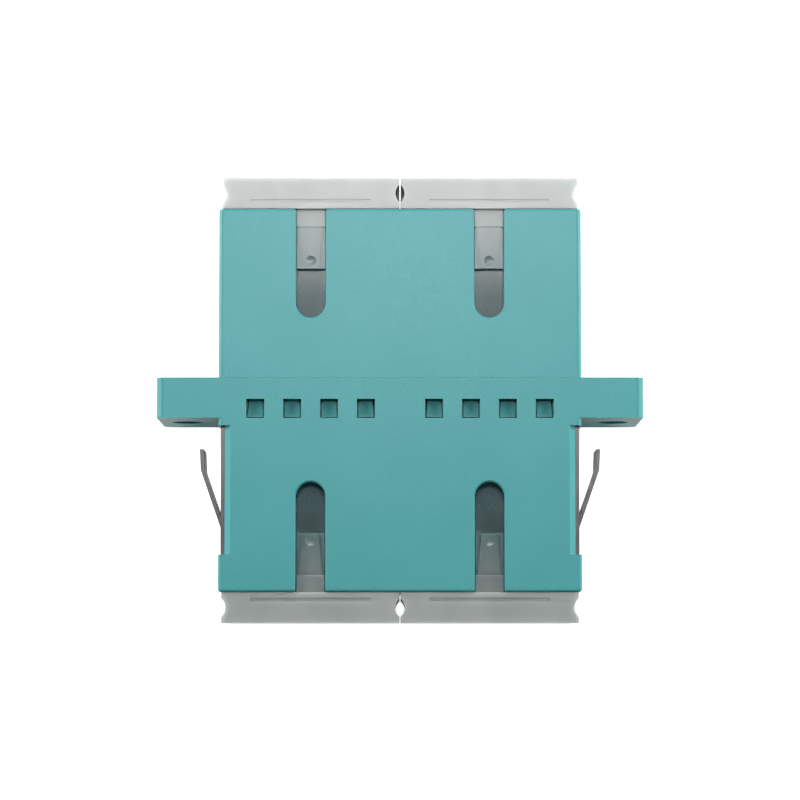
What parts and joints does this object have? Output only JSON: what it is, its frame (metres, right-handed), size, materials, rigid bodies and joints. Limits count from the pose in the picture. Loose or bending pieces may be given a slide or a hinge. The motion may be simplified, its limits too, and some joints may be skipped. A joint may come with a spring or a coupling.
{
  "type": "sc duplex fibre adapter",
  "caption": "Duplex SC fibre adapter: keyed rectangular housing with screw ears, a spring panel clip, inner latches, split sleeves and pull-off dust caps.",
  "frame": {"origin": "below the middle of the adapter, on the plane that its back lies on", "axes": "+X from ear to ear, +Y along the fibres away from the clip's end, +Z out of the key face"},
  "size_m": [0.0346, 0.0318, 0.0093],
  "materials": {
    "aqua_plastic": "fine matt moulding",
    "cap_plastic": "translucent",
    "spring_steel": "rolled",
    "sleeve_ceramic": "polished"
  },
  "bodies": {
    "adapter": {"housing": "aqua_plastic", "latch_holder_upper_left": "aqua_plastic", "latch_holder_upper_right": "aqua_plastic", "latch_holder_lower_left": "aqua_plastic", "latch_holder_lower_right": "aqua_plastic", "alignment_sleeve_left": "sleeve_ceramic", "alignment_sleeve_right": "sleeve_ceramic", "spring_clip": "spring_steel"},
    "cap_upper_left": {"dust_cap_upper_left": "cap_plastic"},
    "cap_upper_right": {"dust_cap_upper_right": "cap_plastic"},
    "cap_lower_left": {"dust_cap_lower_left": "cap_plastic"},
    "cap_lower_right": {"dust_cap_lower_right": "cap_plastic"}
  },
  "joints": [
    {"name": "cap_upper_left_pull", "type": "slide", "parent": "adapter", "child": "cap_upper_left", "axis": [0, 1, 0], "range_m": [0, 0.012]},
    {"name": "cap_lower_left_pull", "type": "slide", "parent": "adapter", "child": "cap_lower_left", "axis": [0, -1, 0], "range_m": [0, 0.012]},
    {"name": "cap_upper_right_pull", "type": "slide", "parent": "adapter", "child": "cap_upper_right", "axis": [0, 1, 0], "range_m": [0, 0.012]},
    {"name": "cap_lower_right_pull", "type": "slide", "parent": "adapter", "child": "cap_lower_right", "axis": [0, -1, 0], "range_m": [0, 0.012]}
  ]
}
